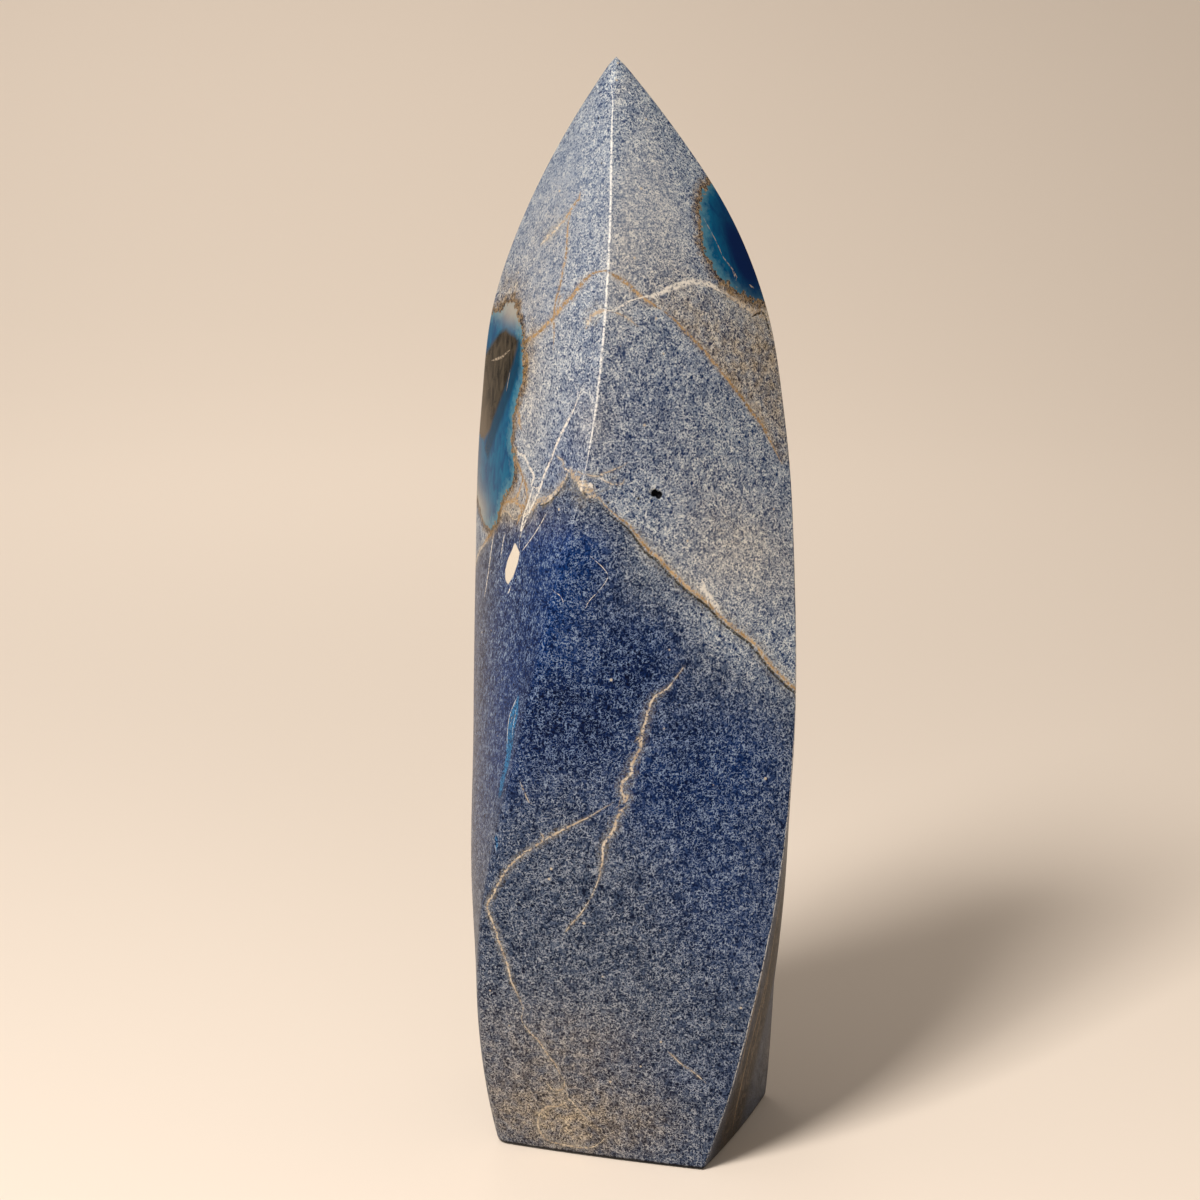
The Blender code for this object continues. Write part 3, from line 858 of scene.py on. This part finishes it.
# %% The three tones of each zone
tones = [linear("#0f2750"), linear("#828f9f"), linear("#c5c8c6")]      # the pale upper stone


def repaint(share, dark, ground, bright):
    """Moves the three tones towards new ones by a share."""
    return [add("ShaderNodeMixRGB", {"Fac": share, "Color1": old, "Color2": linear(new)})
            for old, new in zip(tones, (dark, ground, bright))]


cloud = add("ShaderNodeTexNoise", {"Vector": in_mm, "Scale": 0.12, "Detail": 3.0}, 0)
cloud = add("ShaderNodeMapRange", {0: cloud, "From Min": 0.35, "From Max": 0.65, "To Min": -0.1, "To Max": 0.1})
slate_here = add("ShaderNodeAttribute", {}, "Fac", attribute_name="slate")
tones = repaint(slate_here, "#0a1227", "#3a4860", "#8c919a")
royal_here = add("ShaderNodeAttribute", {}, "Fac", attribute_name="royal")
tones = repaint(royal_here, "#00143c", "#0a326c", "#7d8ea5")
navy_here = add("ShaderNodeAttribute", {}, "Fac", attribute_name="navy")
navy_here = add("ShaderNodeMath", {0: navy_here, 1: cloud}, operation="ADD", use_clamp=True)
tones = repaint(navy_here, "#000823", "#021b49", "#687a97")
pale_here = add("ShaderNodeAttribute", {}, "Fac", attribute_name="pale")
tones = repaint(pale_here, "#6b727c", "#a5a19b", "#cfc7bb")
# The painted sheen greys the upper faces and lowers their contrast.
painted_sheen_here = add("ShaderNodeAttribute", {}, "Fac", attribute_name="painted_sheen")
tones = repaint(painted_sheen_here, "#5a6880", "#868f9c", "#a6aaad")
tan_noise = add("ShaderNodeTexNoise", {"Vector": in_mm, "Scale": 0.6, "Detail": 3.0}, 0)
tan_noise = add("ShaderNodeMapRange", {0: tan_noise, "From Min": 0.3, "From Max": 0.65, "To Min": 0.35})
tan_here = add("ShaderNodeAttribute", {}, "Fac", attribute_name="tan")
tan_here = add("ShaderNodeMath", {0: tan_here, 1: tan_noise}, operation="MULTIPLY")
tones = repaint(tan_here, "#403a34", "#8e8272", "#c0b29b")
# Umber with painted shade: the face beyond edge B turns dark brown to near black.
umber_and_shade_here = add("ShaderNodeAttribute", {}, "Fac", attribute_name="umber_and_shade")
tones = repaint(umber_and_shade_here, "#020202", "#120e0b", "#6b5a48")
dark_part = add("ShaderNodeMapRange", {0: grain, "From Min": 0.0, "From Max": 0.5})
bright_part = add("ShaderNodeMapRange", {0: grain, "From Min": 0.5, "From Max": 1.0})
colour = add("ShaderNodeMixRGB", {"Fac": dark_part, "Color1": tones[0], "Color2": tones[1]})
colour = add("ShaderNodeMixRGB", {"Fac": bright_part, "Color1": colour, "Color2": tones[2]})
print("tones mixed")

# %% [markdown]
# Single grains of feldspar and of black tourmaline lie scattered in the rock. Cellular noise gives
# each cell one point and one random colour, so a few cells can be picked and only their middles
# shown.

# %% Scattered grains
SPECK_SCALE = 0.45           # cells per mm


def specks(shift, picked_above, radius_mm):
    """Round grains in a few of the cells: 1 in a grain, 0 outside."""
    moved = add("ShaderNodeVectorMath", {0: in_mm, 1: (shift, shift, shift)}, operation="ADD")
    cells = add("ShaderNodeTexVoronoi", {"Vector": moved, "Scale": SPECK_SCALE}, "Distance")
    random_colour = cells.node.outputs["Color"]
    picked = add("ShaderNodeMath", {0: random_colour, 1: picked_above}, operation="GREATER_THAN")
    size = radius_mm * SPECK_SCALE
    round_spot = add("ShaderNodeMapRange", {0: cells, "From Min": 0.6 * size, "From Max": size, "To Min": 1.0,
                                            "To Max": 0.0})
    return add("ShaderNodeMath", {0: round_spot, 1: picked}, operation="MULTIPLY")


feldspar = specks(0.0, 0.86, 0.34)
tourmaline = specks(31.0, 0.62, 0.45)
colour = add("ShaderNodeMixRGB", {"Fac": feldspar, "Color1": colour, "Color2": linear("#b0a594")})
colour = add("ShaderNodeMixRGB", {"Fac": tourmaline, "Color1": colour, "Color2": tones[0]})
print("grains scattered")

# %% The lines
wander = add("ShaderNodeTexNoise", {"Vector": in_mm, "Scale": 0.7, "Detail": 3.0, "Roughness": 0.65}, "Color")
wander = add("ShaderNodeVectorMath", {0: wander, 1: (0.5, 0.5, 0.5)}, operation="SUBTRACT")


def line(name, wobble, sharp_from, sharp_to, strength=1.0):
    """How strongly a family of lines shows: its strength on the line, 0 away from it."""
    step = add("ShaderNodeAttribute", {}, "Vector", attribute_name=name + "_step")
    moved = add("ShaderNodeVectorMath", {0: wander, 1: (wobble,) * 3, 2: step}, operation="MULTIPLY_ADD")
    away = add("ShaderNodeVectorMath", {0: moved}, "Value", operation="LENGTH")
    reach = add("ShaderNodeAttribute", {}, "Fac", attribute_name=name + "_reach")
    away = add("ShaderNodeMath", {0: away, 1: reach}, operation="MAXIMUM")
    return add("ShaderNodeMapRange", {0: away, "From Min": sharp_from, "From Max": sharp_to, "To Min": strength,
                                      "To Max": 0.0}, interpolation_type="SMOOTHSTEP")


def lay(share, colour_under, colour_over):
    """One colour laid over another, broken up a little by the grain of the rock."""
    broken_share = add("ShaderNodeMath", {0: share, 1: breaks}, operation="MULTIPLY")
    return add("ShaderNodeMixRGB", {"Fac": broken_share, "Color1": colour_under, "Color2": colour_over})


breaks = add("ShaderNodeTexNoise", {"Vector": in_mm, "Scale": 2.2, "Detail": 1.0}, 0)
breaks = add("ShaderNodeMapRange", {0: breaks, "From Min": 0.38, "From Max": 0.54, "To Min": 0.15, "To Max": 1.0})
stain = add("ShaderNodeTexNoise", {"Vector": in_mm, "Scale": 0.35, "Detail": 2.0}, 0)
stain = add("ShaderNodeMapRange", {0: stain, "From Min": 0.4, "From Max": 0.6})
cream_colour = add("ShaderNodeMixRGB", {"Fac": stain, "Color1": linear("#c8bba7"), "Color2": linear("#a3917a")})
gold_colour = add("ShaderNodeMixRGB", {"Fac": stain, "Color1": linear("#ab8d63"), "Color2": linear("#86693f")})
colour = lay(line("cream", 4.0, 1.0, 5.0, 0.35), colour, linear("#8f8878"))
colour = lay(line("cream", 2.6, 0.4, 1.1, 0.95), colour, cream_colour)
colour = lay(line("gold", 3.0, 1.0, 5.0, 0.4), colour, linear("#938675"))
colour = lay(line("gold", 2.0, 0.5, 1.8, 0.95), colour, gold_colour)
seam = add("ShaderNodeAttribute", {}, "Fac", attribute_name="seam_depth")
seam = add("ShaderNodeMapRange", {0: seam, "From Min": -0.1, "From Max": 0.5, "To Min": 0.0, "To Max": 0.85})
seam_tone = add("ShaderNodeMixRGB", {"Fac": grain, "Color1": linear("#05264f"), "Color2": linear("#2f86bd")})
colour = add("ShaderNodeMixRGB", {"Fac": seam, "Color1": colour, "Color2": seam_tone})
colour = lay(line("white", 1.2, 0.6, 1.5, 1.0), colour, linear("#cfcac1"))
print("lines drawn")

# %% The pools
rim_noise = add("ShaderNodeTexNoise", {"Vector": in_mm, "Scale": 0.8, "Detail": 3.0, "Roughness": 0.6}, 0)
ragged_rim = add("ShaderNodeMapRange", {0: rim_noise, "From Min": 0.3, "From Max": 0.7, "To Min": -0.9, "To Max": 0.9})
deep = add("ShaderNodeAttribute", {}, "Fac", attribute_name="pool_depth")
deep = add("ShaderNodeMath", {0: deep, 1: ragged_rim}, operation="ADD")
flow = add("ShaderNodeTexNoise", {"Vector": tall, "Scale": 0.5, "Detail": 3.0, "Distortion": 1.0}, 0)
flow = add("ShaderNodeMapRange", {0: flow, "From Min": 0.35, "From Max": 0.65})
pool = add("ShaderNodeMixRGB", {"Fac": flow, "Color1": linear("#0b587a"), "Color2": linear("#063f66")})
near_rim = add("ShaderNodeMapRange", {0: deep, "From Min": 0.0, "From Max": 2.2, "To Min": 0.75, "To Max": 0.0})
pool = add("ShaderNodeMixRGB", {"Fac": near_rim, "Color1": pool, "Color2": linear("#54808e")})
pool_dark = add("ShaderNodeAttribute", {}, "Fac", attribute_name="pool_dark")
pool = add("ShaderNodeMixRGB", {"Fac": pool_dark, "Color1": pool, "Color2": linear("#031a44")})
weathered = add("ShaderNodeAttribute", {}, "Fac", attribute_name="pool_weathered")
pool = add("ShaderNodeMixRGB", {"Fac": weathered, "Color1": pool, "Color2": linear("#9a9387")})
band = add("ShaderNodeAttribute", {}, "Fac", attribute_name="band_depth")
band = add("ShaderNodeMapRange", {0: band, "From Min": -0.7, "From Max": 0.5, "To Min": 0.0, "To Max": 0.85})
pool = add("ShaderNodeMixRGB", {"Fac": band, "Color1": pool, "Color2": linear("#022f48")})
bleached = add("ShaderNodeAttribute", {}, "Fac", attribute_name="core_bleached")
core_tone = add("ShaderNodeMixRGB", {"Fac": flow, "Color1": linear("#12110f"), "Color2": linear("#423b31")})
core_tone = add("ShaderNodeMixRGB", {"Fac": bleached, "Color1": core_tone, "Color2": linear("#665a4c")})
core = add("ShaderNodeAttribute", {}, "Fac", attribute_name="core_depth")
core = add("ShaderNodeMapRange", {0: core, "From Min": -0.5, "From Max": 0.6})
pool = add("ShaderNodeMixRGB", {"Fac": core, "Color1": pool, "Color2": core_tone})
rim = add("ShaderNodeMapRange", {0: deep, "From Min": -2.6, "From Max": -0.8, "To Min": 0.0, "To Max": 0.85})
rim_tone = add("ShaderNodeMixRGB", {"Fac": grain, "Color1": linear("#1f180f"), "Color2": linear("#8f7145")})
colour = add("ShaderNodeMixRGB", {"Fac": rim, "Color1": colour, "Color2": rim_tone})
in_pool = add("ShaderNodeMapRange", {0: deep, "From Min": -0.15, "From Max": 0.15})
colour = add("ShaderNodeMixRGB", {"Fac": in_pool, "Color1": colour, "Color2": pool})
colour = lay(line("thread", 1.5, 0.4, 1.4, 0.8), colour, linear("#a39584"))
print("pools filled")

# %% What lies over all: the spindle, the crack, the pits, the edges' wear and painted highlight, and the painted shade at the foot
spindle = add("ShaderNodeAttribute", {}, "Fac", attribute_name="spindle_depth")
spindle = add("ShaderNodeMapRange", {0: spindle, "From Min": -0.1, "From Max": 0.15})
colour = add("ShaderNodeMixRGB", {"Fac": spindle, "Color1": colour, "Color2": linear("#cdc4b6")})
colour = lay(line("crack", 0.8, 0.5, 1.4, 0.9), colour, linear("#211f18"))
pit = add("ShaderNodeAttribute", {}, "Fac", attribute_name="pit")
pit = add("ShaderNodeMapRange", {0: pit, "From Min": 0.1, "From Max": 0.3})
colour = add("ShaderNodeMixRGB", {"Fac": pit, "Color1": colour, "Color2": linear("#0a0b10")})
# Each upright edge gets a pale thread: partly wear, partly a painted highlight for the lamps' glint on it.
wear_and_edge_highlight = line("edge", 0.6, 0.4, 1.3, 0.8)
colour = lay(wear_and_edge_highlight, colour, linear("#dcdad5"))
# Painted contact shade: the lowest millimetre of the stone, next to the floor, is darkened nearly to black.
rise = add("ShaderNodeSeparateXYZ", {0: in_mm}, "Z")
painted_foot_shade = add("ShaderNodeMapRange", {0: rise, "From Min": 0.65, "From Max": 1.05, "To Min": 0.93, "To Max": 0.0})
colour = add("ShaderNodeMixRGB", {"Fac": painted_foot_shade, "Color1": colour, "Color2": linear("#120f0d")})
tree.links.new(colour, shader.inputs["Base Color"])
print("colour finished")

# %% Gloss and relief
shader.inputs["IOR"].default_value = 1.62
shader.inputs["Specular IOR Level"].default_value = 0.05
rough = add("ShaderNodeMapRange", {0: grain, "From Min": 0.2, "From Max": 0.8, "To Min": 0.34, "To Max": 0.26})
rough = add("ShaderNodeMix", {0: in_pool, 2: rough, 3: 0.2}, 0)
tree.links.new(rough, shader.inputs["Roughness"])
relief = add("ShaderNodeBump", {"Height": grain, "Strength": 0.12, "Distance": 0.00002}, "Normal")
tree.links.new(relief, shader.inputs["Normal"])
mesh.materials.clear()
mesh.materials.append(stone_finish)
print("the finish has", len(tree.nodes), "nodes")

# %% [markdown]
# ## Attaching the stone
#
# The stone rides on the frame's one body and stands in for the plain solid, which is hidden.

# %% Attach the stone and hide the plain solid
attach(stone, "root")
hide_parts("tower")
